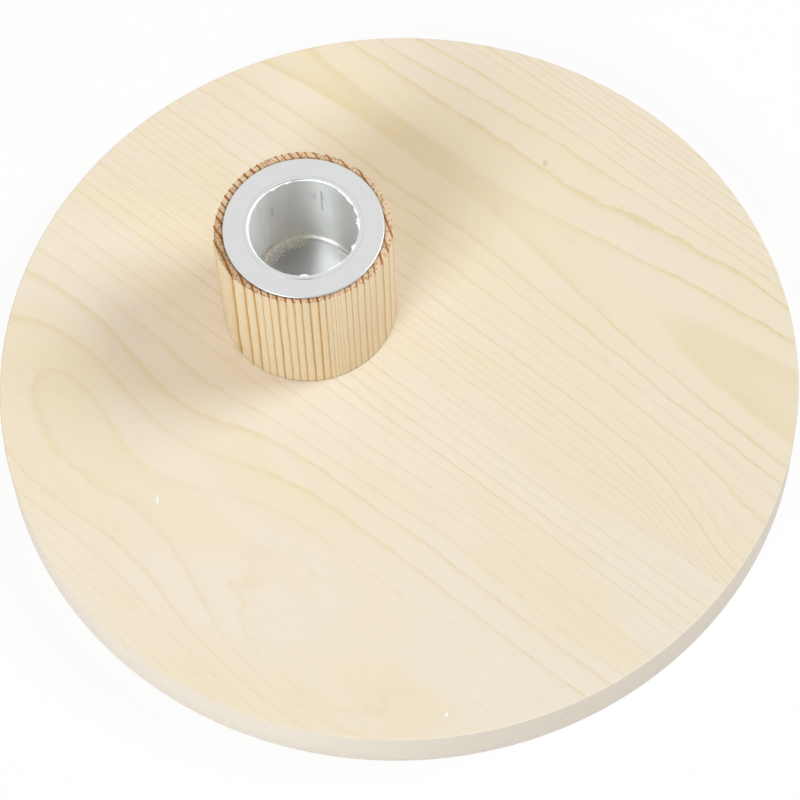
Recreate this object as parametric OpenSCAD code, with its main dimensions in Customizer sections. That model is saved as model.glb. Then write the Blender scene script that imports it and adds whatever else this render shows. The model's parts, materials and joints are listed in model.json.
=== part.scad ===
// Candle plate: a round plate of two edge-glued pine staves, with a turned pine block that
// stands off its centre. A cup pressed from aluminium sheet hangs by its flange in the block's
// bore and takes a taper candle. A countersunk wood screw from below holds the block.
// Millimetres. The origin is the centre of the plate's underside, +Z is up, and the block
// stands towards +Y.

/* [Plate] */
// Diameter of the plate
plate_d = 170; // [140:1:220]
// Thickness of the plate
plate_t = 11; // [8:0.5:20]
// Radius of the eased edges round the plate's rim
plate_edge_r = 0.5; // [0.2:0.1:3]
// Turn of the glue line from the line through the centres of plate and block, in degrees
glue_line_turn = 2; // [-15:0.5:15]

/* [Candle block] */
// Distance of the block's axis from the plate's centre
block_offset = 24.8; // [10:0.2:45]
// Thickness of the block's wall round its bore
block_wall = 6.3; // [4:0.1:10]
// Thickness of the wood left under the bore
block_floor = 9; // [6:0.5:20]
// Radius of the eased edge round the block's top
block_edge_r = 0.3; // [0.1:0.1:1.5]

/* [Candle insert] */
// Inner diameter of the cup, for a candle 22 mm thick
insert_bore_d = 23; // [20:0.5:30]
// Inner depth of the cup, from the top of its flange
insert_depth = 23; // [15:0.5:35]
// Thickness of the aluminium sheet
sheet_t = 0.5; // [0.3:0.1:0.8]
// Width of the flange, from the outside of the cup to the rim
flange_w = 4.8; // [3:0.1:6]
// Outer radius of the bend from the flange into the cup
mouth_r = 0.6; // [0.6:0.1:2]
// Inner radius of the bend from the cup's wall into its floor
floor_r = 1.5; // [0.8:0.1:3]
// Clearance between the cup and the wall of the block's bore
insert_gap = 0.3; // [0.1:0.05:0.5]
// Clearance between the cup and the floor of the block's bore
floor_gap = 0.5; // [0.2:0.1:2]

/* [Screw] */
// Outer diameter of the screw's thread
screw_d = 4; // [3:0.5:5]
// Diameter of the screw's countersunk head
screw_head_d = 8; // [7:0.5:10]
// Height of the short straight rim of the head
screw_rim_h = 0.4; // [0.2:0.1:0.8]
// Depth of the head below the plate's underside
screw_sink = 0.5; // [0.2:0.1:1.5]
// Length of the screw's point
screw_point_l = 3; // [2:0.5:4]
// Width of the screw's blunt tip
screw_tip_d = 0.6; // [0.4:0.1:1]
// Thickness of the wood left above the screw's point
screw_cover = 3; // [1:0.5:5]
// Clearance round the screw in its holes
screw_gap = 0.1; // [0.05:0.05:0.3]
// Length of each slot of the cross recess
recess_l = 4.4; // [3:0.1:6]
// Width of each slot of the cross recess
recess_w = 1; // [0.6:0.1:1.4]
// Depth of the cross recess
recess_depth = 1.6; // [1:0.1:2]
// Diameter of the cross recess at its bottom
recess_bottom_d = 1.6; // [1:0.1:2.5]

/* [Hidden] */
$fn = 128;
// Segments in the full circle of a small round
round_fn = 32;

// Overshoot that lets a cut pass cleanly through a face
over = 1;

// Cup and its bore in the block
cup_bore_r = insert_bore_d / 2;
cup_r = cup_bore_r + sheet_t;
flange_r = cup_r + flange_w;
bore_r = cup_r + insert_gap;
bore_depth = insert_depth + floor_gap;
bore_chamfer = mouth_r - sheet_t + insert_gap;

// Block, and the height at which the flange lies on it
block_r = bore_r + block_wall;
block_h = block_floor + bore_depth;
block_top = plate_t + block_h;

// Screw, from its head up to its tip
screw_hole_r = screw_d / 2 + screw_gap;
head_cone_h = (screw_head_d - screw_d) / 2;
screw_bite = block_floor - screw_cover;
screw_top = plate_t + screw_bite;

// Round disc or block standing on z = 0, with its lower and upper edge rounded
module turned(r, h, lower_r, upper_r) {
    rotate_extrude()
        difference() {
            square([r, h]);
            if (lower_r > 0)
                translate([r - lower_r, lower_r])
                    mirror([0, 1])
                        corner_waste(lower_r);
            if (upper_r > 0)
                translate([r - upper_r, h - upper_r])
                    corner_waste(upper_r);
        }
}

// What rounding takes off a square corner, seen from the centre of the round
module corner_waste(r) {
    difference() {
        square(r + over);
        circle(r, $fn = round_fn);
    }
}

// Bent sheet over a quarter turn in the first quadrant, round the bend's centre
module bend(inner_r) {
    intersection() {
        difference() {
            circle(inner_r + sheet_t, $fn = round_fn);
            circle(inner_r, $fn = round_fn);
        }
        square(inner_r + sheet_t);
    }
}

// Half of the space about the glue line, on the side given by -1 or 1
module stave_side(side) {
    reach = plate_d + block_offset;
    translate([0, block_offset, -over])
        rotate(glue_line_turn)
            translate([side < 0 ? -reach : 0, -reach, 0])
                cube([reach, 2 * reach, plate_t + 2 * over]);
}

// Clearance hole and countersink for the screw, up through the plate
module screw_way() {
    head_r = screw_head_d / 2 + screw_gap;
    rim_top = screw_sink + screw_rim_h;
    translate([0, block_offset, 0]) {
        translate([0, 0, -over])
            cylinder(r = screw_hole_r, h = plate_t + 2 * over);
        translate([0, 0, -over])
            cylinder(r = head_r, h = over + rim_top);
        translate([0, 0, rim_top])
            cylinder(r1 = head_r, r2 = screw_hole_r, h = head_cone_h);
    }
}

// One stave of the plate, on the side given by -1 or 1
module stave(side) {
    difference() {
        intersection() {
            turned(plate_d / 2, plate_t, plate_edge_r, plate_edge_r);
            stave_side(side);
        }
        screw_way();
    }
}

module left_stave() {
    color("#EFDDBE")
        stave(-1);
}

module right_stave() {
    color("#EAD5B2")
        stave(1);
}

module candle_block() {
    color("#DDB382")
        translate([0, block_offset, plate_t])
            difference() {
                turned(block_r, block_h, 0, block_edge_r);
                translate([0, 0, block_floor])
                    cylinder(r = bore_r, h = bore_depth + over);
                translate([0, 0, block_h - bore_chamfer])
                    cylinder(r1 = bore_r, r2 = bore_r + bore_chamfer, h = bore_chamfer);
                translate([0, 0, -over])
                    cylinder(r = screw_hole_r, h = over + screw_bite + screw_gap);
            }
}

// Half section of the cup, with the top of its flange at y = 0
module insert_profile() {
    // Floor
    translate([0, -insert_depth - sheet_t])
        square([cup_bore_r - floor_r, sheet_t]);
    // Bend between floor and wall
    translate([cup_bore_r - floor_r, floor_r - insert_depth])
        mirror([0, 1])
            bend(floor_r);
    // Wall
    translate([cup_bore_r, floor_r - insert_depth])
        square([sheet_t, insert_depth - floor_r - mouth_r]);
    // Bend between wall and flange
    translate([cup_bore_r + mouth_r, -mouth_r])
        mirror([1, 0])
            bend(mouth_r - sheet_t);
    // Flange with its rounded rim
    translate([cup_bore_r + mouth_r, -sheet_t])
        square([flange_r - cup_bore_r - mouth_r - sheet_t / 2, sheet_t]);
    translate([flange_r - sheet_t / 2, -sheet_t / 2])
        circle(sheet_t / 2, $fn = round_fn);
}

module candle_insert() {
    color("#D3D4D5")
        translate([0, block_offset, block_top + sheet_t])
            rotate_extrude()
                insert_profile();
}

// Cross recess of the screw's head, opening downwards at z = 0
module cross_recess() {
    intersection() {
        union() {
            translate([0, 0, -over])
                cylinder(d = recess_l, h = over);
            cylinder(d1 = recess_l, d2 = recess_bottom_d, h = recess_depth);
        }
        for (turn = [0, 90])
            rotate(turn)
                translate([-recess_l / 2, -recess_w / 2, -over])
                    cube([recess_l, recess_w, recess_depth + over]);
    }
}

module fixing_screw() {
    shank_start = screw_rim_h + head_cone_h;
    screw_l = screw_top - screw_sink;
    color("#B9BABB")
        translate([0, block_offset, screw_sink])
            difference() {
                union() {
                    cylinder(d = screw_head_d, h = screw_rim_h);
                    translate([0, 0, screw_rim_h])
                        cylinder(d1 = screw_head_d, d2 = screw_d, h = head_cone_h);
                    translate([0, 0, shank_start])
                        cylinder(d = screw_d, h = screw_l - shank_start - screw_point_l);
                    translate([0, 0, screw_l - screw_point_l])
                        cylinder(d1 = screw_d, d2 = screw_tip_d, h = screw_point_l);
                }
                cross_recess();
            }
}

left_stave();
right_stave();
candle_block();
candle_insert();
fixing_screw();
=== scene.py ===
import bisect
import json
import math
from collections import namedtuple

import bmesh
import bpy
from mathutils import Matrix, Vector
from mathutils import noise as ripples


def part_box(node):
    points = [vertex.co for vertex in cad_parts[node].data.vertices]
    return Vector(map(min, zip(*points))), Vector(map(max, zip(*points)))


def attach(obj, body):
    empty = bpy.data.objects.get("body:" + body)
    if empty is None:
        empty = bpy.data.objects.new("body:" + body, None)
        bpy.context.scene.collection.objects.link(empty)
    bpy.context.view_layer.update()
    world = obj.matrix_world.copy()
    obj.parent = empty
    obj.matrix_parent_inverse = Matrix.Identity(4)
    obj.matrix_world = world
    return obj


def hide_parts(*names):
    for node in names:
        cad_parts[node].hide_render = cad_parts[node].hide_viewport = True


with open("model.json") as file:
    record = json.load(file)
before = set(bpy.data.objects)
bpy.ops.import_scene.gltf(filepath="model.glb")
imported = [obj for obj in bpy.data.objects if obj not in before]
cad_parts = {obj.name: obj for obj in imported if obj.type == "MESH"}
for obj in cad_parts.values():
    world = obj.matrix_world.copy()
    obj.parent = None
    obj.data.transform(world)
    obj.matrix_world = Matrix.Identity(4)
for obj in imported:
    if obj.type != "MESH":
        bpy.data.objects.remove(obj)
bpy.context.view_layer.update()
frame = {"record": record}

bl_info = {
    "name": "Candle plate",
    "version": (1, 0, 0),
    "blender": (4, 5, 0),
    "location": "View3D > Sidebar > Candle plate",
    "description": "Dresses the CAD frame of a pine candle plate with a lift-out aluminium insert",
    "category": "Object",
}

MM = 0.001

# The CAD box, and the CAD nodes' boxes that the settings take their sizes from
LEFT_LOW, LEFT_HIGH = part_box("left_stave")
BLOCK_LOW, BLOCK_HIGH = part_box("candle_block")
INSERT_LOW, INSERT_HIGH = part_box("candle_insert")
SCREW_LOW, SCREW_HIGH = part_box("fixing_screw")
SOCKET = next(mount for mount in frame["record"]["mounts"] if mount["name"] == "candle_socket")

# The upright axis that block and screw share. The loose insert lies a little in front of it, inside
# the clearance of its bore.
AXIS = (BLOCK_LOW + BLOCK_HIGH) / 2
AXIS.z = 0
INSERT_AXIS = AXIS + Vector((-0.1, -0.15, 0)) * MM

# Growth rings, in millimetres. A heart is the line that the rings of a piece go round: x and z for a
# stave, whose heart runs along y, and x and y from the block's axis for the block, whose heart stands
# upright. Rings give the radius of each ring and how dark its hard line is, from 0 to 1. A swelling
# pushes a stave's rings outwards at x, y. Strength is that of all its lines, and outer what they gain
# far out along x. Flat is what is left of a line where the rings lie along the surface, and front and
# back are what it gains towards -y and +y. Fade is what the other lines lose towards -x and -y. The
# warm zone is where the wood is yellower. The painted fill is a patch near the block that is made
# lighter as painted light, lifting the block's shadow there.
Growth = namedtuple("Growth", "heart strength outer flat front back fade warm pale swellings rings")
Swelling = namedtuple("Swelling", "x y width length height")

LEFT_GROWTH = Growth(
    heart=(-47.5, -34),
    strength=0.8, outer=-0.2, flat=0.42, front=-0.35, back=0.4, fade=0.2,
    warm=Swelling(-60, 60, 14, 30, 0.1),
    pale=Swelling(-13, 50, 16, 20, 0.06),
    swellings=(
        Swelling(-55, 70, 12, 12, 0.8), Swelling(-41, 88, 13, 22, 2.4), Swelling(-34, 39, 8, 27, 1.6),
        Swelling(-18, -37, 7, 23, -1), Swelling(-69, 44, 11, 23, -2), Swelling(-75, -28, 15, 50, -6),
        Swelling(-41, 26, 12, 19, 1.3),
    ),
    rings={
        32: 0, 34.5: 0.6, 37: 0.5, 39.5: 0.7, 42: 0.4, 44.5: 0.4, 44.85: 0.6, 45.6: 0.65, 47.2: 0.8,
        49.1: 0.75, 50.4: 0.55, 52.4: 0.45, 53.9: 0.7, 55.6: 0.3, 56.9: 0.7, 58.6: 1, 60.5: 0.85,
        62.2: 0.6, 63.9: 0.85, 65.2: 0.4, 66.4: 0.5, 68.5: 0.4,
    },
)
RIGHT_GROWTH = Growth(
    heart=(46, -34),
    strength=1, outer=0.4, flat=0.45, front=0.25, back=0.36, fade=0,
    warm=Swelling(46, 30, 16, 45, 0.3),
    pale=Swelling(47, 53, 15, 16, 0.06),
    swellings=(
        Swelling(46, 65, 24, 45, 1.3), Swelling(46, 0, 24, 45, 1.3), Swelling(0, -64, 9, 14, 3.2),
        Swelling(6, -84, 14, 23, -6), Swelling(71, 19, 9, 42, -1.7), Swelling(67, -45, 7, 46, -1.5),
    ),
    rings={
        32: 0, 34.5: 0.5, 37: 0.7, 39.5: 0.5, 42: 0.4, 45.8: 0.7, 46.65: 0.9, 47.65: 0.8, 48.5: 0.55,
        49.85: 0.6, 50.9: 0.35, 52: 0.5, 53.4: 0.8, 54.4: 0.35, 55.4: 0.85, 56.4: 0.7, 57.3: 0.35,
        58.2: 0.9, 59.6: 0.7, 60.8: 0.4, 62.5: 0.5,
    },
)
BLOCK_HEART = (-56, 27.2)
BLOCK_RINGS = {
    35: 0, 38.6: 0.5, 40.6: 0.6, 42.8: 0.4, 44.75: 0.9, 46.5: 0.9, 48.2: 0.95, 49.6: 0.6, 51: 0.8,
    52.6: 1, 54.2: 0.75, 55.7: 0.8, 57.3: 0.8, 59: 0.95, 60.8: 1, 62.3: 0.75, 63.3: 0.45, 64.1: 0.4,
    64.8: 0.45, 65.4: 0.35, 66.5: 0.7, 67.8: 0.65, 69.1: 0.7, 70.7: 0.75, 71.9: 0.6, 73.4: 0.65,
    75.4: 0.8, 77.2: 0.6, 79: 0.7, 82: 0.6,
}

# Small marks on the plate's top, with the place, half length and half width of each in millimetres,
# and the turn of its length in degrees
Mark = namedtuple("Mark", "x y turn length width")
WHITE_NICKS = (Mark(-55.6, 19, 42, 1.2, 0.34), Mark(-54.5, -58.6, 20, 0.6, 0.35))
DARK_SPOTS = (Mark(60.1, 8.4, 30, 1.0, 0.5), Mark(47.2, 18, 0, 0.25, 0.25))

# Marks down the wall of the insert: degrees round its axis from x, depths below the flange and width
# in millimetres, and how bright the mark is beside the wall
WallMark = namedtuple("WallMark", "turn high low width tone")
WALL_MARKS = (
    WallMark(23, 3.8, 11.6, 0.35, 0.6),
    WallMark(21, 4.2, 7.5, 0.25, 0.8),
    WallMark(-7, 5.4, 11.8, 0.3, 1.5),
    WallMark(31, 5.2, 8.2, 0.9, 0.88),
    WallMark(78, 7.3, 10.4, 0.7, 0.82),
)

# Places where the block's sides are drawn in towards the top, torn flakes of the insert's lip, and
# the depth of the fine ring that is pressed into its flange: degrees round the axis from x, half the
# span in degrees and the reach in millimetres
Flake = namedtuple("Flake", "turn span reach")
BLOCK_HOLLOWS = (Flake(222, 45, 0.7), Flake(-5, 35, 0.45), Flake(98, 28, 0.3))
LIP_FLAKES = (
    Flake(128, 40, 0.16), Flake(73, 6, 0.45), Flake(60, 5, 0.4), Flake(34, 14, 0.15),
    Flake(-4, 7, 0.35), Flake(-16, 6, 0.5), Flake(-30, 5, 0.35), Flake(-45, 6, 0.5),
    Flake(-74, 4, 0.45), Flake(-106, 10, 0.18), Flake(-139, 4, 0.3),
)
PRESSED_RING = (Flake(0, 360, 0.025), Flake(200, 45, 0.1))

# Shares of a ring's width. A hard line takes up its share at the ring's outer side, darkens up to the
# crest, which is counted from the inner side, and ends there.
CREST = 0.93
STAVE_LINE = 0.36
BLOCK_LINE = 0.44
END_LINE = 0.52

# Steps in a full turn of each spun shape
PLATE_STEPS = 360
BLOCK_STEPS = 1200
INSERT_STEPS = 256
LIP_STEPS = 900
SCREW_STEPS = 48
THREAD_STEPS = 32
HOLE_STEPS = 64
FLOOR_STEPS = 180


def length(name, description, default):
    """A length in metres that the sidebar shows in the scene's unit."""
    return bpy.props.FloatProperty(
        name=name, description=description, default=default, min=0, unit="LENGTH", precision=5
    )


def angle(name, description, degrees):
    """An angle that the sidebar shows in degrees."""
    return bpy.props.FloatProperty(
        name=name, description=description, default=math.radians(degrees), subtype="ANGLE"
    )


def colour(name, description, default):
    """A colour in linear light."""
    return bpy.props.FloatVectorProperty(
        name=name, description=description, default=default, size=3, min=0, max=1, subtype="COLOR"
    )


class PlateSettings(bpy.types.PropertyGroup):
    """Sizes and colours of the two glued staves"""

    radius: length("Radius", "Radius of the round plate", -LEFT_LOW.x)
    thickness: length("Thickness", "Thickness of the plate", LEFT_HIGH.z)
    edge: length("Edge", "Radius of the eased edges round the rim", 0.4 * MM)
    joint_turn: angle("Joint turn", "Turn of the glue line about the block's axis", 2)
    joint_ease: length("Joint ease", "Width of the tiny bevel along the glue line", 0.06 * MM)
    left_wood: colour("Left wood", "Colour of the left stave's soft wood", (0.893, 0.778, 0.655))
    right_wood: colour("Right wood", "Colour of the right stave's soft wood", (0.888, 0.766, 0.63))
    warm_wood: colour("Warm wood", "Colour of the yellower zones", (0.885, 0.757, 0.58))
    line_wood: colour("Line wood", "Colour of the hard late wood in the lines", (0.81, 0.668, 0.43))
    end_wood: colour("End wood", "Colour of the sanded rim", (0.775, 0.69, 0.615))
    nick: colour("Nick", "Colour of the white nicks", (0.95, 0.93, 0.88))


class BlockSettings(bpy.types.PropertyGroup):
    """Sizes and colours of the turned block"""

    radius: length("Radius", "Radius of the block", (BLOCK_HIGH.x - BLOCK_LOW.x) / 2)
    edge: length("Edge", "Radius of the eased edge round the top", 0.3 * MM)
    foot: length("Foot", "Radius of the eased edge round the foot", 0.15 * MM)
    bore_gap: length("Bore gap", "Clearance between the insert's sheet and the bore", 0.3 * MM)
    bore_chamfer: length("Bore chamfer", "Width of the chamfer at the mouth of the bore", 0.4 * MM)
    floor: length("Floor", "Thickness of the wood under the bore", 9 * MM)
    ridge: length("Ridge", "Height by which the hard lines stand out of the turned side", 0.06 * MM)
    flare: length("Flare", "Width by which the hard lines stand out along the top edge", 0.25 * MM)
    fray: length("Fray", "Depth to which the soft wood lies behind them there", 0.22 * MM)
    pale_wood: colour("Pale wood", "Colour of the soft early wood", (0.84, 0.685, 0.475))
    line_wood: colour("Line wood", "Colour of the hard late wood in the lines", (0.54, 0.245, 0.01))
    outer_line: colour("Outer line", "Colour of the lines farthest from the heart", (0.56, 0.335, 0.15))
    end_pale: colour("End pale", "Colour of the soft wood on the end grain", (0.88, 0.64, 0.43))
    end_line: colour("End line", "Colour of the hard lines on the end grain", (0.36, 0.11, 0.012))
    end_fleck: colour("End fleck", "Colour of the torn fibres on the end grain", (0.36, 0.16, 0.05))


class InsertSettings(bpy.types.PropertyGroup):
    """Sizes and colours of the pressed insert"""

    bore: length("Bore", "Inner radius of the cup", SOCKET["dims"]["r_mm"] * MM)
    sheet: length("Sheet", "Thickness of the aluminium sheet", 0.5 * MM)
    flange: length("Flange", "Outer radius of the flange", (INSERT_HIGH.x - INSERT_LOW.x) / 2)
    mouth: length("Mouth", "Radius of the bend from the flange into the cup", 0.4 * MM)
    groove: length("Groove", "Radius of the fine ring pressed into the flange", 12.45 * MM)
    groove_width: length("Groove width", "Half width of the pressed ring", 0.14 * MM)
    corner: length("Corner", "Radius of the bend from the wall into the floor", 1.5 * MM)
    metal: colour("Metal", "Colour of the aluminium", (0.70, 0.70, 0.69))
    cup: colour("Cup", "Colour of the drawn metal inside the cup", (0.77, 0.75, 0.725))
    # Near white, partly a painted highlight on the torn flakes of the lip
    torn: colour("Torn", "Colour of the broken edges of the sheet", (0.95, 0.95, 0.94))
    dust: colour("Dust", "Colour of the sawdust in the corner of the cup", (0.8, 0.74, 0.64))


class ScrewSettings(bpy.types.PropertyGroup):
    """Sizes and colours of the fixing screw"""

    head: length("Head", "Radius of the countersunk head", (SCREW_HIGH.x - SCREW_LOW.x) / 2)
    rim: length("Rim", "Height of the head's straight rim", 0.4 * MM)
    thread: length("Thread", "Outer radius of the thread", 2 * MM)
    core: length("Core", "Radius of the core between the threads", 1.35 * MM)
    pitch: length("Pitch", "Rise of the thread in one turn", 1.8 * MM)
    point: length("Point", "Length of the point", 3 * MM)
    gap: length("Gap", "Clearance round the screw in its holes", 0.1 * MM)
    recess: length("Recess", "Reach of each arm of the cross recess", 2.2 * MM)
    recess_width: length("Recess width", "Width of the arms of the cross recess", 1 * MM)
    recess_depth: length("Recess depth", "Depth of the cross recess", 1.6 * MM)
    metal: colour("Metal", "Colour of the zinc-plated steel", (0.66, 0.66, 0.66))


class StageSettings(bpy.types.PropertyGroup):
    """Camera, floor and lights"""

    target: bpy.props.FloatVectorProperty(
        name="Target",
        description="Point that the camera looks at",
        default=(-1.01 * MM, -1.0 * MM, 0),
        size=3,
        subtype="TRANSLATION",
        unit="LENGTH",
    )
    azimuth: angle("Azimuth", "Turn of the camera about the plate, from the front", -47.74)
    elevation: angle("Elevation", "Angle of the camera above the floor", 61.90)
    roll: angle("Roll", "Turn of the camera about its own line of sight", -2.515)
    distance: length("Distance", "Distance from the camera to its target", 741.25 * MM)
    lens: bpy.props.FloatProperty(
        name="Lens", description="Focal length for a sensor 36 mm wide", default=154.75, unit="CAMERA"
    )
    floor: colour("Floor", "Colour of the floor", (0.93, 0.93, 0.93))
    left_azimuth: angle("Left azimuth", "Compass direction of the left lamp", 189)
    right_azimuth: angle("Right azimuth", "Compass direction of the right lamp", -34)
    left_elevation: angle("Left elevation", "Angle of the left lamp above the floor", 35)
    right_elevation: angle("Right elevation", "Angle of the right lamp above the floor", 41)
    lamp_power: bpy.props.FloatProperty(
        name="Lamp power", description="Power of each lamp", default=135, min=0, unit="POWER"
    )
    lamp_size: length("Lamp size", "Width of each square lamp", 2.1)
    lamp_distance: length("Lamp distance", "Distance of the lamps from the block's foot", 5)
    lamp_light: colour("Lamp light", "Colour of the lamps", (0.74, 0.90, 1))
    room_light: colour("Room light", "Colour of the light from all round", (1, 0.85, 0.67))
    room_strength: bpy.props.FloatProperty(
        name="Room strength", description="Strength of the light from all round", default=0.515, min=0
    )


class CandlePlateSettings(bpy.types.PropertyGroup):
    """All settings of the candle plate"""

    plate: bpy.props.PointerProperty(type=PlateSettings)
    block: bpy.props.PointerProperty(type=BlockSettings)
    insert: bpy.props.PointerProperty(type=InsertSettings)
    screw: bpy.props.PointerProperty(type=ScrewSettings)
    stage: bpy.props.PointerProperty(type=StageSettings)


class Wire:
    """An output in a node tree. Sums and products of wires add the Math nodes that work them out."""

    def __init__(self, tree, socket):
        self.tree = tree
        self.socket = socket

    def math(self, operation, *values):
        return wired(self.tree, "ShaderNodeMath", dict(enumerate(values)), operation=operation)

    def __add__(self, other):
        return self.math("ADD", self, other)

    def __sub__(self, other):
        return self.math("SUBTRACT", self, other)

    def __rsub__(self, other):
        return self.math("SUBTRACT", other, self)

    def __mul__(self, other):
        return self.math("MULTIPLY", self, other)

    def __truediv__(self, other):
        return self.math("DIVIDE", self, other)

    def __neg__(self):
        return self.math("MULTIPLY", self, -1)

    __radd__ = __add__
    __rmul__ = __mul__


def feed(tree, socket, value):
    """Links a wire to a socket, or sets a constant on it."""
    if isinstance(value, Wire):
        tree.links.new(value.socket, socket)
    elif socket.type == "RGBA":
        socket.default_value = (*value, 1)
    else:
        socket.default_value = value


def add_node(tree, kind, inputs, **options):
    """Adds a node, with its options by name and its inputs by name or place."""
    node = tree.nodes.new(kind)
    for option, choice in options.items():
        setattr(node, option, choice)
    for place, value in inputs.items():
        feed(tree, node.inputs[place], value)
    return node


def wired(tree, kind, inputs, output=0, **options):
    """The output of a new node, by name or place."""
    return Wire(tree, add_node(tree, kind, inputs, **options).outputs[output])


def root(value):
    return value.math("SQRT", value)


def size_of(value):
    """A wire's value without its sign."""
    return value.math("ABSOLUTE", value)


def whole(value):
    """The whole number below a wire's value."""
    return value.math("FLOOR", value)


def part(value):
    """What is left of a wire's value above the whole number below it."""
    return value.math("FRACT", value)


def bell(across, along):
    """A smooth bump that is 1 where both values are 0 and fades away past 1 and -1."""
    return across.math("EXPONENT", -(across * across + along * along))


def rise(value, low, high):
    """0 below low, 1 above high and smooth between them."""
    inputs = {"Value": value, "From Min": low, "From Max": high}
    return wired(value.tree, "ShaderNodeMapRange", inputs, interpolation_type="SMOOTHSTEP")


def window(value, low, high, soft):
    """1 between low and high, and 0 outside, with soft ends."""
    return rise(value, low - soft, low + soft) * (1 - rise(value, high - soft, high + soft))


class Finish:
    """A material, with the few kinds of node that the finishes of this object need."""

    def __init__(self, name):
        self.material = bpy.data.materials.new(name)
        self.material.use_nodes = True
        self.tree = self.material.node_tree
        self.shader = self.tree.nodes["Principled BSDF"]

    def set(self, sockets):
        """Sets or links sockets of the shader, given by their names."""
        for name, value in sockets.items():
            feed(self.tree, self.shader.inputs[name], value)

    def place(self):
        """The point on the piece, as x, y and z in millimetres."""
        point = wired(self.tree, "ShaderNodeTexCoord", {}, "Object")
        return self.apart(self.shade(point, 1 / MM))

    def facing(self):
        """The direction that the surface faces, as x, y and z."""
        return self.apart(wired(self.tree, "ShaderNodeNewGeometry", {}, "Normal"))

    def apart(self, vector):
        """The three numbers of a vector or a colour."""
        node = add_node(self.tree, "ShaderNodeSeparateXYZ", {0: vector})
        return [Wire(self.tree, output) for output in node.outputs]

    def scaled(self, place, scales):
        """A place as one vector, scaled along x, y and z."""
        lengths = [value * scale for value, scale in zip(place, scales)]
        return wired(self.tree, "ShaderNodeCombineXYZ", dict(enumerate(lengths)))

    def cloud(self, place, scales, detail=2, roughness=0.5):
        """Noise about 0.5, whose largest forms are 1 wide once the place is scaled."""
        inputs = dict(Vector=self.scaled(place, scales), Scale=1, Detail=detail, Roughness=roughness)
        return wired(self.tree, "ShaderNodeTexNoise", inputs)

    def grains(self, place, scale):
        """Distance to the nearest of many points, scattered about 1 apart, and a lot drawn for each."""
        inputs = {"Vector": self.scaled(place, (scale,) * 3), "Scale": 1}
        node = add_node(self.tree, "ShaderNodeTexVoronoi", inputs)
        lot = self.apart(Wire(self.tree, node.outputs["Color"]))[0]
        return Wire(self.tree, node.outputs["Distance"]), lot

    def count(self, value, marks):
        """How many of the marks lie below a value, with the share of the way to the next one."""
        first, last = marks[0], marks[-1]
        share = (value - first) / (last - first)
        node = add_node(self.tree, "ShaderNodeFloatCurve", {"Value": share})
        points = node.mapping.curves[0].points
        for number, mark in enumerate(marks[1:-1], 1):
            points.new((mark - first) / (last - first), number / (len(marks) - 1))
        for point in points:
            point.handle_type = "VECTOR"
        node.mapping.update()
        return Wire(self.tree, node.outputs[0]) * (len(marks) - 1)

    def pick(self, number, values):
        """The value whose place in the list is the whole part of a number."""
        share = (whole(number) + 0.5) / len(values)
        node = add_node(self.tree, "ShaderNodeValToRGB", {0: share})
        ramp = node.color_ramp
        ramp.interpolation = "CONSTANT"
        ramp.elements.remove(ramp.elements[1])
        ramp.elements[0].color = (values[0],) * 3 + (1,)
        for place, value in enumerate(values[1:], 1):
            ramp.elements.new(place / len(values)).color = (value,) * 3 + (1,)
        return self.apart(Wire(self.tree, node.outputs[0]))[0]

    def mix(self, factor, first, second):
        """A colour that goes from the first to the second as factor goes from 0 to 1."""
        inputs = {0: factor, 6: first, 7: second}
        return wired(self.tree, "ShaderNodeMix", inputs, 2, data_type="RGBA")

    def shade(self, vector, tone):
        """A colour made lighter or darker by a factor, or another vector times a factor."""
        inputs = {0: vector, "Scale": tone}
        return wired(self.tree, "ShaderNodeVectorMath", inputs, operation="SCALE")

    def relief(self, height):
        """Bump from a height in millimetres."""
        inputs = {"Strength": 1, "Distance": MM, "Height": height}
        self.set({"Normal": wired(self.tree, "ShaderNodeBump", inputs)})

    def hard_lines(self, level, rings, share):
        """The hard line at the end of each growth ring, which darkens slowly and stops sharply."""
        number = self.count(level, list(rings))
        across = part(number)
        line = rise(across, 1 - share, CREST)
        line = (line * line * 0.8 + across * across * 0.2) * (1 - rise(across, CREST, 1))
        return line * self.pick(number, list(rings.values())[1:])

    def marked(self, x, y, marks):
        """1 on each of some marks on an upward face, and 0 beside them."""
        spots = []
        for mark in marks:
            turn = math.radians(mark.turn)
            right, ahead = x - mark.x, y - mark.y
            along = right * math.cos(turn) + ahead * math.sin(turn)
            across = ahead * math.cos(turn) - right * math.sin(turn)
            spots.append(bell(along / mark.length, across / mark.width))
        return rise(sum(spots), 0.25, 0.55)


def swelling_at(swelling, x, y):
    """What a swelling or a zone adds at a place."""
    return bell((x - swelling.x) / swelling.width, (y - swelling.y) / swelling.length) * swelling.height


def stave_level(finish, growth, place):
    """Distance from a stave's heart, with its rings' wanderings, and how steeply the rings come up."""
    x, y, z = place
    across = x - growth.heart[0]
    above = z - growth.heart[1]
    level = root(across * across + above * above)
    for swelling in growth.swellings:
        level = level + swelling_at(swelling, x, y)
    slow = finish.cloud(place, (0.11, 0.05, 0.11))
    quick = finish.cloud(place, (0.6, 0.22, 0.6), 3, 0.6)
    steepness = size_of(across) / level
    wander = (slow - 0.5) * 0.5 + (quick - 0.5) * 0.3
    return level + wander * (0.06 + rise(steepness, 0, 0.35) * 0.94), steepness


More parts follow.
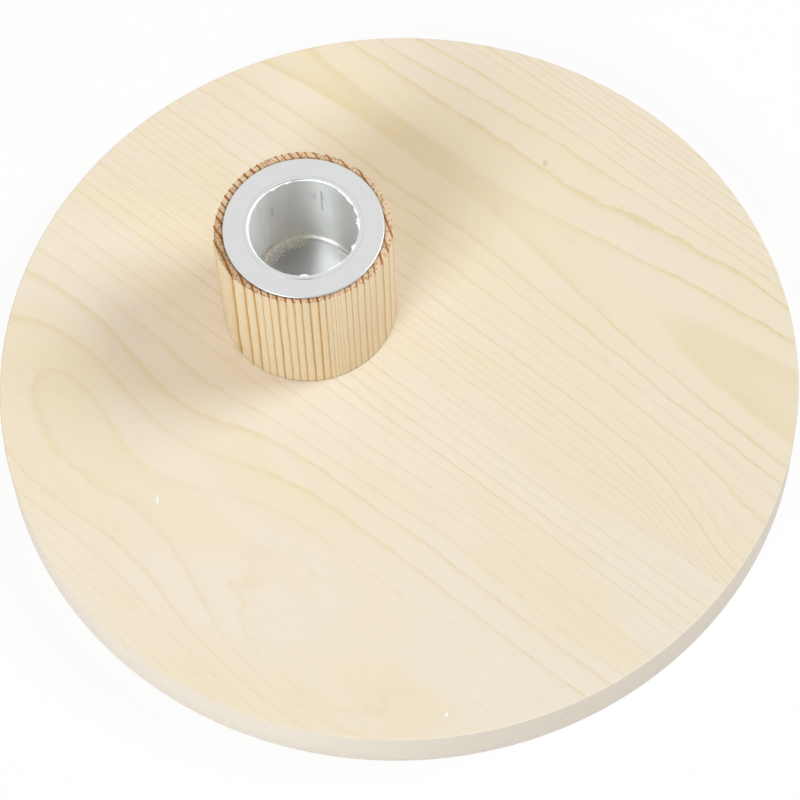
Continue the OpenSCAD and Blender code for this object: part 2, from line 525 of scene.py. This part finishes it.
def stave_pine(name, settings, pale_wood, growth):
    """Pale raw pine, sawn flat and sanded, with a greyer, specked rim."""
    finish = Finish(name)
    place = finish.place()
    x, y = place[:2]
    out_y, out_z = finish.facing()[1:]
    level, steepness = stave_level(finish, growth, place)
    flat = growth.flat + rise(-y, 0, 40) * growth.front + rise(y, 15, 55) * growth.back
    faded = rise(-y - x * 0.6, 20, 80) * growth.fade
    strength = flat + rise(steepness, 0.05, 0.35) * (1 - flat - faded)
    patchy = finish.cloud(place, (0.3, 0.08, 0.3))
    strength = strength * (0.5 + patchy * 1.2)
    strength = strength * (growth.strength + rise(size_of(x), 50, 70) * growth.outer)
    late = finish.hard_lines(level, growth.rings, STAVE_LINE) * strength
    fibre = finish.cloud(place, (4, 0.09, 4), 3, 0.6)
    fuzz = finish.cloud(place, (9, 2, 9), 2, 0.6)
    zones = finish.cloud(place, (0.07, 0.025, 0.07))
    canals = rise(finish.cloud(place, (2.4, 0.2, 2.4)), 0.66, 0.76)

    zones = zones + swelling_at(growth.warm, x, y)
    # Painted light: the tone rises towards +y, the back of the plate, and the painted fill lightens the
    # plate near the block
    tone = 1 + y * 0.0005 + swelling_at(growth.pale, x, y)
    wood = finish.mix(rise(zones, 0.38, 0.72), pale_wood, settings.warm_wood)
    wood = finish.mix(late, wood, settings.line_wood)
    wood = finish.shade(wood, tone + (fibre - 0.5) * 0.05 + (patchy - 0.5) * 0.03 - canals * 0.06)
    upward = rise(out_z, 0.8, 0.95)
    nicks = finish.marked(x, y, WHITE_NICKS) * upward
    spots = finish.marked(x, y, DARK_SPOTS) * upward
    wood = finish.shade(finish.mix(nicks, wood, settings.nick), 1 - spots * 0.16)

    rim = 1 - rise(size_of(out_z), 0.5, 0.85)
    speck_distance, speck_lot = finish.grains(place, 0.8)
    speck = 1 - rise(speck_distance, 0.1, 0.2)
    dark_specks = speck * rise(speck_lot, 0.8, 0.82)
    white_specks = speck * (1 - rise(speck_lot, 0.18, 0.2))
    sanded = finish.mix(white_specks * 0.8, settings.end_wood, settings.nick)
    cut_ends = rise(size_of(out_y), 0.3, 1)
    sanded = finish.shade(sanded, 1.06 - cut_ends * 0.17 - dark_specks * 0.25 + (fuzz - 0.5) * 0.06)
    wood = finish.mix(rim * 0.9, wood, sanded)
    finish.set({"Base Color": wood, "Roughness": 0.62 + fibre * 0.1, "Specular IOR Level": 0.2})
    finish.relief(late * 0.01 + fibre * 0.02 + fuzz * 0.012 - canals * 0.02 - nicks * 0.06 - spots * 0.05)
    return finish.material


def block_pine(settings):
    """Raw pine with strong, upright growth rings, and rougher, darker end grain on top."""
    finish = Finish("block_pine")
    x, y, z = finish.place()
    y = y - AXIS.y / MM
    place = (x, y, z)
    out_z = finish.facing()[2]
    across = x - BLOCK_HEART[0]
    along = y - BLOCK_HEART[1]
    wander = finish.cloud(place, (0.5, 0.5, 0.08))
    level = root(across * across + along * along) + (wander - 0.5) * 0.35
    late = finish.hard_lines(level, BLOCK_RINGS, BLOCK_LINE)
    fibre = finish.cloud(place, (5, 5, 0.16), 3, 0.6)
    fuzz = finish.cloud(place, (6, 6, 3), 2, 0.6)
    pores = rise(finish.cloud(place, (5, 5, 2.2), 2, 0.6), 0.60, 0.68)

    height = z - BLOCK_LOW.z / MM
    near_top = rise(height, 30.5, 32.5)
    line = finish.mix(rise(level, 60, 66), settings.line_wood, settings.outer_line)
    line = finish.mix(near_top * 0.7, line, settings.end_line)
    side = finish.mix(late, settings.pale_wood, line)
    side = finish.shade(side, 1 + (fibre - 0.5) * 0.14 - pores * (late * 0.6 + 0.12))
    end_late = rise(finish.hard_lines(level, BLOCK_RINGS, END_LINE), 0.1, 0.4)
    crumbs = finish.cloud(place, (1.5, 1.5, 1.5), 2, 0.6)
    end = finish.mix(end_late * (1 - rise(level, 60, 68) * 0.15), settings.end_pale, settings.end_line)
    flecks = rise(crumbs, 0.5, 0.57)
    near_heart = 1 - rise(level, 42, 54)
    end = finish.mix(flecks * (0.65 - near_heart * 0.15) + near_heart * 0.4, end, settings.end_fleck)
    end = finish.shade(end, 0.7 + crumbs * 0.6 - near_heart * 0.1)
    end_grain = rise(size_of(out_z), 0.5, 0.8)
    # Painted shade: the end grain round the flange's edge is darkened as the flange's contact shadow. The
    # foot of the side darkens in specks, partly grime and partly painted contact shade on the plate
    painted_flange_shade = 1 - rise(root(x * x + y * y), 16.9, 17.5)
    foot = 1 - rise(height, 0.1, 0.9)
    wood = finish.mix(end_grain, side, end)
    wood = finish.shade(wood, 1 - painted_flange_shade * 0.35 - foot * rise(fuzz, 0.4, 0.6) * 0.5)
    finish.set({"Base Color": wood, "Roughness": 0.62 + fibre * 0.1, "Specular IOR Level": 0.2})
    finish.relief(late * 0.02 + fibre * 0.03 + fuzz * 0.02 - pores * 0.03 + crumbs * end_grain * 0.08)
    return finish.material


def insert_place(finish):
    """The point on the insert from its axis, in millimetres, and its distance from that axis."""
    x, y, z = finish.place()
    x = x - INSERT_AXIS.x / MM
    y = y - INSERT_AXIS.y / MM
    return (x, y, z), root(x * x + y * y)


def satin_aluminium(settings):
    """The smooth flange and the outside of the cup, with faint smudges, and painted shade in the pressed
    ring.
    """
    finish = Finish("flange_aluminium")
    place, distance = insert_place(finish)
    out_z = finish.facing()[2]
    grain = finish.cloud(place, (1.5, 1.5, 1.5), 4, 0.6)
    bloom = finish.cloud(place, (0.2, 0.2, 0.2))
    speck_distance, speck_lot = finish.grains(place, 0.45)
    specks = (1 - rise(speck_distance, 0.06, 0.14)) * rise(speck_lot, 0.75, 0.77)
    # Painted shade: the metal in the pressed ring is darkened in patches, as shade in the crease
    off_groove = size_of(distance - settings.groove / MM)
    groove = (1 - rise(off_groove, 0.06, 0.2)) * rise(out_z, 0.5, 0.9)
    tone = 1 + (bloom - 0.5) * 0.06 + (grain - 0.5) * 0.03 + specks * 0.15 - groove * bloom * 0.2
    metal = finish.shade(settings.metal, tone)
    finish.set({"Base Color": metal, "Metallic": 1, "Roughness": 0.33 + grain * 0.06})
    finish.relief(grain * 0.002 + specks * 0.02)
    return finish.material


def drawn_aluminium(settings):
    """The inside of the cup, with the marks of drawing, sawdust in a corner, and painted light on the
    walls.
    """
    finish = Finish("insert_aluminium")
    place, distance = insert_place(finish)
    x, y, z = place
    out_z = finish.facing()[2]
    flat = rise(size_of(out_z), 0.6, 0.95)
    turn = y.math("ARCTAN2", y, x) / math.radians(1)
    depth = INSERT_HIGH.z / MM - z
    grain = finish.cloud(place, (1.5, 1.5, 1.5), 4, 0.6)
    drawn = finish.cloud(place, (1.2, 1.2, 0.05), 3, 0.6)
    bloom = finish.cloud(place, (0.2, 0.2, 0.2))
    bend = window(out_z, 0.35, 0.8, 0.15) * rise(depth, 20, 21)
    tone = 1 + (drawn - 0.5) * 0.16 * (1 - flat) + (bloom - 0.5) * 0.1 + (grain - 0.5) * 0.05
    # Painted light: the walls are made lighter than the floor, and lighter still towards the bottom
    tone = tone * (1.24 + rise(depth, 6, 20) * 0.06 - flat * 0.54)
    for mark in WALL_MARKS:
        beside = size_of(turn - mark.turn) * math.radians(settings.bore / MM)
        on_mark = 1 - rise(beside, mark.width * 0.1, mark.width * 0.8)
        on_mark = on_mark * window(depth, mark.high, mark.low, 0.8)
        tone = tone * (1 + on_mark * (mark.tone - 1))

    # Sawdust lies where the wall meets the floor, at the camera's far left and a little at its right
    wall_foot = rise(depth, 20, 22) * rise(distance, 8, 10.6)
    heap = wall_foot * (window(turn, 40, 110, 9) + window(turn, -35, 5, 12) * 0.45)
    crumb_distance, crumb_lot = finish.grains(place, 6)
    dust = rise(heap + (crumb_lot - 0.5) * 1.2 + (grain - 0.5) * 0.9, 0.66, 0.8)
    crumb = finish.shade(settings.dust, 0.5 + crumb_lot * 0.7)
    metal = finish.shade(settings.cup, tone)
    finish.set(
        {
            "Base Color": finish.mix(dust, metal, crumb),
            "Metallic": 1 - dust,
            "Roughness": 0.42 - flat * 0.14 - bend * 0.15 + grain * 0.08 + dust * 0.35,
            "Anisotropic": 0.6,
            "Anisotropic Rotation": 0.25,
        }
    )
    finish.relief(grain * 0.004 + drawn * 0.006 * (1 - flat) + dust * (0.1 - crumb_distance * 0.08))
    return finish.material


def torn_aluminium_glint(settings):
    """Broken edges of the sheet, whose near-white colour is partly a painted highlight."""
    finish = Finish("torn_aluminium_glint")
    grain = finish.cloud(finish.place(), (6, 6, 6), 3)
    finish.set({"Base Color": settings.torn, "Metallic": 1, "Roughness": 0.45 + grain * 0.2})
    finish.relief(grain * 0.02)
    return finish.material


def zinc_plate(settings):
    """Dull zinc on a steel screw."""
    finish = Finish("screw_steel")
    bloom = finish.cloud(finish.place(), (1.2, 1.2, 1.2), 3)
    finish.set({"Base Color": settings.metal, "Metallic": 1, "Roughness": 0.3 + bloom * 0.25})
    finish.relief(bloom * 0.01)
    return finish.material


def half_section(shape, corners, axis):
    """A wire of corners, each a radius and a height, to spin about an upright axis."""
    points = [shape.verts.new((axis.x + radius, axis.y, height)) for radius, height in corners]
    for pair in zip(points, points[1:]):
        shape.edges.new(pair)
    return points


def round_off(shape, geometry, radius, segments, affect="VERTICES"):
    """Rounds edges of a shape, or corners of a half section before it is spun."""
    bmesh.ops.bevel(
        shape, geom=geometry, offset=radius, segments=segments, profile=0.5, affect=affect, material=-1
    )


def spin_round(shape, steps, axis):
    """Spins a shape's wires about an upright axis and closes the seam and the poles."""
    wires = [*shape.verts, *shape.edges]
    bmesh.ops.spin(
        shape, geom=wires, cent=axis, axis=(0, 0, 1), angle=math.tau, steps=steps, use_merge=True
    )
    bmesh.ops.remove_doubles(shape, verts=shape.verts, dist=0.001 * MM)
    bmesh.ops.dissolve_degenerate(shape, edges=shape.edges, dist=0.0005 * MM)
    bmesh.ops.recalc_face_normals(shape, faces=shape.faces)


def make_piece(name, shape, material):
    """Puts a finished shape into the scene as one piece."""
    mesh = bpy.data.meshes.new(name)
    shape.to_mesh(mesh)
    shape.free()
    mesh.materials.append(material)
    piece = bpy.data.objects.new(name, mesh)
    bpy.context.scene.collection.objects.link(piece)
    return piece


def level_way(corner, axis):
    """The level way to a corner from an upright axis."""
    way = corner.co - axis
    way.z = 0
    return way


def reach_at(outwards, flakes):
    """How far the flakes reach in a direction from their axis."""
    turn = math.degrees(math.atan2(outwards.y, outwards.x))
    reach = 0
    for flake in flakes:
        off = (turn - flake.turn + 180) % 360 - 180
        reach = max(reach, flake.reach * math.exp(-((off / flake.span) ** 4)))
    return reach * MM


def smooth_faces(piece, sharpest=35):
    """Shades a piece smooth, apart from edges that turn by more than an angle in degrees."""
    piece.data.shade_smooth()
    piece.data.set_sharp_from_angle(angle=math.radians(sharpest))


def dress(piece, body, node):
    """Lets a piece stand for a CAD node on its body."""
    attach(piece, body)
    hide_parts(node)


def cut_away(piece, cutter_shape):
    """Cuts a closed shape out of a piece and keeps the result as the piece's own mesh."""
    cutter = make_piece("cutter", cutter_shape, piece.data.materials[0])
    step = piece.modifiers.new("cut", "BOOLEAN")
    step.operation = "DIFFERENCE"
    step.solver = "EXACT"
    step.object = cutter
    view = bpy.context.evaluated_depsgraph_get()
    result = bpy.data.meshes.new_from_object(piece.evaluated_get(view))
    piece.modifiers.remove(step)
    whole_mesh, cutter_mesh = piece.data, cutter.data
    name = whole_mesh.name
    piece.data = result
    bpy.data.objects.remove(cutter)
    bpy.data.meshes.remove(whole_mesh)
    bpy.data.meshes.remove(cutter_mesh)
    result.name = name


def screw_way(screw, top):
    """A solid of the screw's hole and countersink, to cut from the staves."""
    head = screw.head + screw.gap
    hole = screw.thread + screw.gap
    rim_top = SCREW_LOW.z + screw.rim
    over = 2 * MM
    shape = bmesh.new()
    corners = (
        (0, -over), (head, -over), (head, rim_top),
        (hole, rim_top + head - hole), (hole, top + over), (0, top + over),
    )
    half_section(shape, corners, AXIS)
    spin_round(shape, HOLE_STEPS, AXIS)
    return shape


class CANDLE_PLATE_OT_staves(bpy.types.Operator):
    """Build the two glued staves of the plate"""

    bl_idname = "candle_plate.build_staves"
    bl_label = "Staves"

    def execute(self, context):
        settings = context.scene.candle_plate.plate
        screw = context.scene.candle_plate.screw
        across_joint = Vector((math.cos(settings.joint_turn), math.sin(settings.joint_turn), 0))
        staves = (
            ("left_stave", -1, settings.left_wood, LEFT_GROWTH),
            ("right_stave", 1, settings.right_wood, RIGHT_GROWTH),
        )
        for node, side, pale_wood, growth in staves:
            shape = self.disc(settings)
            self.split(shape, across_joint * -side)
            self.ease_joint(shape, across_joint, settings.joint_ease)
            name = node + "_pine"
            piece = make_piece(name, shape, stave_pine(name, settings, pale_wood, growth))
            cut_away(piece, screw_way(screw, settings.thickness))
            smooth_faces(piece)
            dress(piece, "plate", node)
        return {"FINISHED"}

    def disc(self, settings):
        """The whole round plate, before it is split at the glue line."""
        shape = bmesh.new()
        outside, top = settings.radius, settings.thickness
        points = half_section(shape, ((0, 0), (outside, 0), (outside, top), (0, top)), Vector())
        round_off(shape, points[1:3], settings.edge, 4)
        spin_round(shape, PLATE_STEPS, Vector())
        return shape

    def split(self, shape, away):
        """Keeps one side of the glue line and closes the cut."""
        whole_disc = [*shape.verts, *shape.edges, *shape.faces]
        bmesh.ops.bisect_plane(
            shape, geom=whole_disc, plane_co=AXIS, plane_no=away, clear_outer=True
        )
        open_edges = [edge for edge in shape.edges if edge.is_boundary]
        bmesh.ops.contextual_create(shape, geom=open_edges)
        bmesh.ops.recalc_face_normals(shape, faces=shape.faces)

    def ease_joint(self, shape, across_joint, width):
        """Breaks the sharp edges round the glued face, so that the joint shows as a hairline."""
        near = 0.001 * MM
        joint_edges = [
            edge
            for edge in shape.edges
            if all(abs((corner.co - AXIS).dot(across_joint)) < near for corner in edge.verts)
        ]
        round_off(shape, joint_edges, width, 1, "EDGES")


class CANDLE_PLATE_OT_block(bpy.types.Operator):
    """Build the turned block that carries the insert"""

    bl_idname = "candle_plate.build_block"
    bl_label = "Block"

    def execute(self, context):
        settings = context.scene.candle_plate.block
        insert = context.scene.candle_plate.insert
        screw = context.scene.candle_plate.screw
        foot, top = BLOCK_LOW.z, BLOCK_HIGH.z
        bore = insert.bore + insert.sheet + settings.bore_gap
        hole = screw.thread + screw.gap
        hole_top = SCREW_HIGH.z + screw.gap
        shape = bmesh.new()
        corners = (
            (0, hole_top), (hole, hole_top), (hole, foot),
            (settings.radius, foot), (settings.radius, top),
            (bore + settings.bore_chamfer, top), (bore, top - settings.bore_chamfer),
            (bore, foot + settings.floor), (0, foot + settings.floor),
        )
        points = half_section(shape, corners, AXIS)
        round_off(shape, points[3:4], settings.foot, 2)
        round_off(shape, points[4:5], settings.edge, 3)
        spin_round(shape, BLOCK_STEPS, AXIS)
        self.wear_soft_wood(shape, settings)
        piece = make_piece("turned_block", shape, block_pine(settings))
        smooth_faces(piece)
        dress(piece, "plate", "candle_block")
        return {"FINISHED"}

    def wear_soft_wood(self, shape, settings):
        """Sinks the soft wood of the turned side, draws the top in and frays its edge."""
        near_edge = 1.1 * settings.edge
        for corner in shape.verts:
            outwards = level_way(corner, AXIS)
            if outwards.length < settings.radius - near_edge:
                continue
            soft = 1 - self.hardness(outwards.x / MM, outwards.y / MM)
            share = (corner.co.z - BLOCK_LOW.z) / (BLOCK_HIGH.z - BLOCK_LOW.z)
            shift = -reach_at(outwards, BLOCK_HOLLOWS) * share
            if corner.co.z > BLOCK_HIGH.z - near_edge:
                shift += settings.flare - settings.fray * soft
            else:
                shift -= settings.ridge * soft
            corner.co += outwards.normalized() * shift

    def hardness(self, x, y):
        """How hard the wood is at a place, in millimetres from the block's axis, from 0 to 1."""
        radius = math.hypot(x - BLOCK_HEART[0], y - BLOCK_HEART[1])
        radii = list(BLOCK_RINGS)
        place = bisect.bisect(radii, radius)
        inner, outer = radii[place - 1], radii[place]
        across = (radius - inner) / (outer - inner)
        return BLOCK_RINGS[outer] * max(0, (across - 1 + BLOCK_LINE) / BLOCK_LINE)


class CANDLE_PLATE_OT_insert(bpy.types.Operator):
    """Build the pressed insert that takes the candle"""

    bl_idname = "candle_plate.build_insert"
    bl_label = "Insert"

    def execute(self, context):
        settings = context.scene.candle_plate.insert
        sheet = settings.sheet
        top, under = INSERT_HIGH.z, INSERT_HIGH.z - sheet
        floor, foot = INSERT_LOW.z + sheet, INSERT_LOW.z
        outside = settings.bore + sheet
        shape = bmesh.new()
        groove, half_groove = settings.groove, settings.groove_width
        corners = (
            (0, floor), (settings.bore, floor), (settings.bore, top),
            *((groove + halves * half_groove, top) for halves in (-2, -1, 0, 1, 2)),
            (settings.flange - sheet, top), (settings.flange, top), (settings.flange, under),
            (outside, under), (outside, foot), (0, foot),
        )
        points = half_section(shape, corners, INSERT_AXIS)
        rim, neck, outer_corner = 0.4 * sheet, 0.2 * sheet, settings.corner + sheet
        bends = {1: settings.corner, 2: settings.mouth, 9: rim, 10: rim, 11: neck, 12: outer_corner}
        for place, radius in bends.items():
            round_off(shape, [points[place]], radius, 8)
        spin_round(shape, INSERT_STEPS, INSERT_AXIS)
        self.press_ring(shape, groove, under)
        for face in shape.faces:
            middle = face.calc_center_median()
            faces_in = face.normal.dot(middle - INSERT_AXIS) < 0 or face.normal.z > 0
            face.material_index = 1 if middle.z < under and faces_in else 0
        piece = make_piece("pressed_insert", shape, satin_aluminium(settings))
        piece.data.materials.append(drawn_aluminium(settings))
        smooth_faces(piece, 60)
        dress(piece, "insert", "candle_insert")
        self.add_burr(settings)
        return {"FINISHED"}

    def press_ring(self, shape, groove, under):
        """Sinks the fine ring into the flange, deepest on one side."""
        near = 0.01 * MM
        for corner in shape.verts:
            outwards = level_way(corner, INSERT_AXIS)
            if corner.co.z > under and abs(outwards.length - groove) < near:
                corner.co.z -= reach_at(outwards, PRESSED_RING)

    def add_burr(self, settings):
        """A torn lip of metal round the mouth, whose flakes rise a little above the flange."""
        lip = INSERT_HIGH.z - 0.1 * MM
        seat = settings.bore + 0.25 * MM
        edge = settings.bore - 0.03 * MM
        shape = bmesh.new()
        corners = ((seat, lip), (edge, lip - 0.1 * MM), (seat, lip - 0.3 * MM))
        points = half_section(shape, corners, INSERT_AXIS)
        shape.edges.new((points[-1], points[0]))
        spin_round(shape, LIP_STEPS, INSERT_AXIS)
        for corner in shape.verts:
            outwards = level_way(corner, INSERT_AXIS)
            if outwards.length > settings.bore:
                continue
            outwards.normalize()
            reach = reach_at(outwards, LIP_FLAKES)
            slow = ripples.noise(outwards * 12)
            quick = ripples.noise(outwards * 45)
            corner.co -= outwards * reach * (0.7 + slow * 0.5 + quick * 0.9)
            corner.co.z += reach * (0.45 + quick * 0.6)
        burr = make_piece("lip_burr", shape, torn_aluminium_glint(settings))
        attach(burr, "insert")


class CANDLE_PLATE_OT_screw(bpy.types.Operator):
    """Build the countersunk wood screw under the block"""

    bl_idname = "candle_plate.build_screw"
    bl_label = "Screw"

    def execute(self, context):
        settings = context.scene.candle_plate.screw
        foot, tip = SCREW_LOW.z, SCREW_HIGH.z
        blunt_tip = 0.3 * MM
        shape = bmesh.new()
        neck = foot + settings.rim + settings.head - settings.core
        corners = (
            (0, foot), (settings.head, foot), (settings.head, foot + settings.rim), (settings.core, neck),
            (settings.core, tip - settings.point), (blunt_tip, tip), (0, tip),
        )
        half_section(shape, corners, AXIS)
        spin_round(shape, SCREW_STEPS, AXIS)
        piece = make_piece("wood_screw", shape, zinc_plate(settings))
        for turn in (0, math.pi / 2):
            cut_away(piece, self.recess_arm(settings, turn))
        self.add_thread(piece, settings, neck, tip)
        smooth_faces(piece)
        dress(piece, "plate", "fixing_screw")
        return {"FINISHED"}

    def recess_arm(self, settings, turn):
        """One arm of the cross recess, narrower towards its bottom."""
        shape = bmesh.new()
        over = 0.5 * MM
        deep_reach, deep_width = 0.45, 0.7
        bmesh.ops.create_cube(shape, size=1)
        for corner in shape.verts:
            deep = corner.co.z > 0
            reach = settings.recess * (deep_reach if deep else 1)
            width = settings.recess_width * (deep_width if deep else 1)
            height = settings.recess_depth if deep else -over
            corner.co = Vector((corner.co.x * 2 * reach, corner.co.y * width, SCREW_LOW.z + height))
        place = Matrix.Translation(AXIS) @ Matrix.Rotation(turn, 4, "Z")
        bmesh.ops.transform(shape, matrix=place, verts=shape.verts)
        return shape

    def add_thread(self, piece, settings, neck, tip):
        """Winds the thread up the core, and draws it in along the point."""
        shape = bmesh.new()
        root_radius = settings.core - 0.1 * MM
        half = 0.35 * settings.pitch
        thinnest = 0.15
        start = neck + half
        ridge = [
            shape.verts.new(AXIS + Vector((radius, 0, start + height)))
            for radius, height in ((root_radius, -half), (settings.thread, 0), (root_radius, half))
        ]
        shape.faces.new(ridge)
        turns = (tip - half - start) / settings.pitch
        steps = int(THREAD_STEPS * turns)
        bmesh.ops.spin(
            shape,
            geom=[*shape.verts, *shape.edges, *shape.faces],
            cent=AXIS,
            axis=(0, 0, 1),
            dvec=(0, 0, settings.pitch * turns / steps),
            angle=math.tau * turns,
            steps=steps,
        )
        for corner in shape.verts:
            left = (tip - corner.co.z) / settings.point
            if left < 1:
                keep = max(thinnest, left)
                corner.co.x = AXIS.x + (corner.co.x - AXIS.x) * keep
                corner.co.y = AXIS.y + (corner.co.y - AXIS.y) * keep
        bmesh.ops.recalc_face_normals(shape, faces=shape.faces)
        shape.from_mesh(piece.data)
        shape.to_mesh(piece.data)
        shape.free()


def seen_directly(tree):
    """1 for rays from the camera and for rays that metal or glass sends on, and 0 for others."""
    light = tree.nodes.new("ShaderNodeLightPath")
    rays = ("Is Camera Ray", "Is Glossy Ray", "Is Transmission Ray")
    seen, mirrored, through = (Wire(tree, light.outputs[name]) for name in rays)
    return seen + mirrored + through


def show_mixed(tree, output, factor, first, second):
    """Sends two shaders to an output, the first where factor is 0 and the second where it is 1."""
    inputs = {0: factor, 1: Wire(tree, first.outputs[0]), 2: Wire(tree, second.outputs[0])}
    mixed = wired(tree, "ShaderNodeMixShader", inputs)
    feed(tree, tree.nodes[output].inputs["Surface"], mixed)


def white_floor(settings):
    """A white floor that the camera sees nearly unshaded, with the object's faint shadow."""
    finish = Finish("white_floor")
    finish.set({"Base Color": settings.floor, "Roughness": 0.9})
    glow = add_node(finish.tree, "ShaderNodeEmission", {"Color": (1, 1, 1)})
    glow_share = seen_directly(finish.tree) * 0.9
    show_mixed(finish.tree, "Material Output", glow_share, finish.shader, glow)
    return finish.material


def make_world(settings):
    """Soft light from all round, with a white background for the camera and for reflections."""
    world = bpy.data.worlds.new("studio")
    bpy.context.scene.world = world
    world.use_nodes = True
    tree = world.node_tree
    room = tree.nodes["Background"]
    feed(tree, room.inputs["Color"], settings.room_light)
    feed(tree, room.inputs["Strength"], settings.room_strength)
    backdrop = add_node(tree, "ShaderNodeBackground", {"Color": (1, 1, 1), "Strength": 1})
    show_mixed(tree, "World Output", seen_directly(tree), room, backdrop)


def towards(azimuth, elevation):
    """The direction to a place round the object, by its compass angle from x and its height."""
    flat = math.cos(elevation)
    return Vector((flat * math.cos(azimuth), flat * math.sin(azimuth), math.sin(elevation)))


def soft_light(name, settings, azimuth, elevation):
    """A square lamp that points at the foot of the block."""
    lamp = bpy.data.lights.new(name, "AREA")
    lamp.size = settings.lamp_size
    lamp.energy = settings.lamp_power
    lamp.color = settings.lamp_light
    holder = bpy.data.objects.new(name, lamp)
    direction = towards(azimuth, elevation)
    holder.location = AXIS + direction * settings.lamp_distance
    holder.rotation_euler = direction.to_track_quat("Z", "Y").to_euler()
    bpy.context.scene.collection.objects.link(holder)


def dark_curtain():
    """The dark side of the studio, which shows only in the metal."""
    finish = Finish("dark_curtain")
    finish.set({"Base Color": (0.04, 0.04, 0.04), "Roughness": 0.9})
    direction = towards(math.radians(250), math.radians(55))
    distance, half_width = 2, 1.1
    turned = direction.to_track_quat("Z", "Y").to_matrix().to_4x4()
    place = Matrix.Translation(direction * distance) @ turned
    shape = bmesh.new()
    bmesh.ops.create_grid(shape, x_segments=1, y_segments=1, size=half_width, matrix=place)
    curtain = make_piece("dark_curtain", shape, finish.material)
    curtain.visible_camera = False
    curtain.visible_diffuse = False
    curtain.visible_shadow = False


class CANDLE_PLATE_OT_stage(bpy.types.Operator):
    """Set up the lights, the camera and the floor, which is open under the plate"""

    bl_idname = "candle_plate.build_stage"
    bl_label = "Stage"

    def execute(self, context):
        settings = context.scene.candle_plate.stage
        plate = context.scene.candle_plate.plate
        shape = bmesh.new()
        inside, outside = plate.radius - 1 * MM, 6
        half_section(shape, ((inside, 0), (outside, 0)), Vector())
        spin_round(shape, FLOOR_STEPS, Vector())
        floor = make_piece("floor", shape, white_floor(settings))
        make_world(settings)
        soft_light("left_lamp", settings, settings.left_azimuth, settings.left_elevation)
        soft_light("right_lamp", settings, settings.right_azimuth, settings.right_elevation)
        dark_curtain()
        self.add_camera(context, settings)
        context.scene.view_settings.view_transform = "Standard"
        return {"FINISHED"}

    def add_camera(self, context, settings):
        """Aims the camera at its target and turns it about its line of sight."""
        back = towards(settings.azimuth - math.pi / 2, settings.elevation)
        right = Vector((math.cos(settings.azimuth), math.sin(settings.azimuth), 0))
        up = back.cross(right)
        turned = Matrix((right, up, back)).transposed() @ Matrix.Rotation(settings.roll, 3, "Z")
        lens = bpy.data.cameras.new("camera")
        lens.lens = settings.lens
        camera = bpy.data.objects.new("camera", lens)
        place = Vector(settings.target) + back * settings.distance
        camera.matrix_world = Matrix.Translation(place) @ turned.to_4x4()
        context.scene.collection.objects.link(camera)
        context.scene.camera = camera


class CANDLE_PLATE_PT_sidebar(bpy.types.Panel):
    """Lists the steps that build the candle plate"""

    bl_idname = "CANDLE_PLATE_PT_sidebar"
    bl_label = "Candle plate"
    bl_space_type = "VIEW_3D"
    bl_region_type = "UI"
    bl_category = "Candle plate"

    def draw(self, context):
        for step in STEPS:
            self.layout.operator(step.bl_idname)


STEPS = (
    CANDLE_PLATE_OT_staves, CANDLE_PLATE_OT_block, CANDLE_PLATE_OT_insert,
    CANDLE_PLATE_OT_screw, CANDLE_PLATE_OT_stage,
)
CLASSES = (
    PlateSettings, BlockSettings, InsertSettings, ScrewSettings, StageSettings, CandlePlateSettings,
    *STEPS, CANDLE_PLATE_PT_sidebar,
)


def register():
    for each in CLASSES:
        bpy.utils.register_class(each)
    bpy.types.Scene.candle_plate = bpy.props.PointerProperty(type=CandlePlateSettings)


def unregister():
    del bpy.types.Scene.candle_plate
    for each in reversed(CLASSES):
        bpy.utils.unregister_class(each)


def main():
    register()
    bpy.ops.candle_plate.build_staves()
    bpy.ops.candle_plate.build_block()
    bpy.ops.candle_plate.build_insert()
    bpy.ops.candle_plate.build_screw()
    bpy.ops.candle_plate.build_stage()


if __name__ == "__main__":
    main()
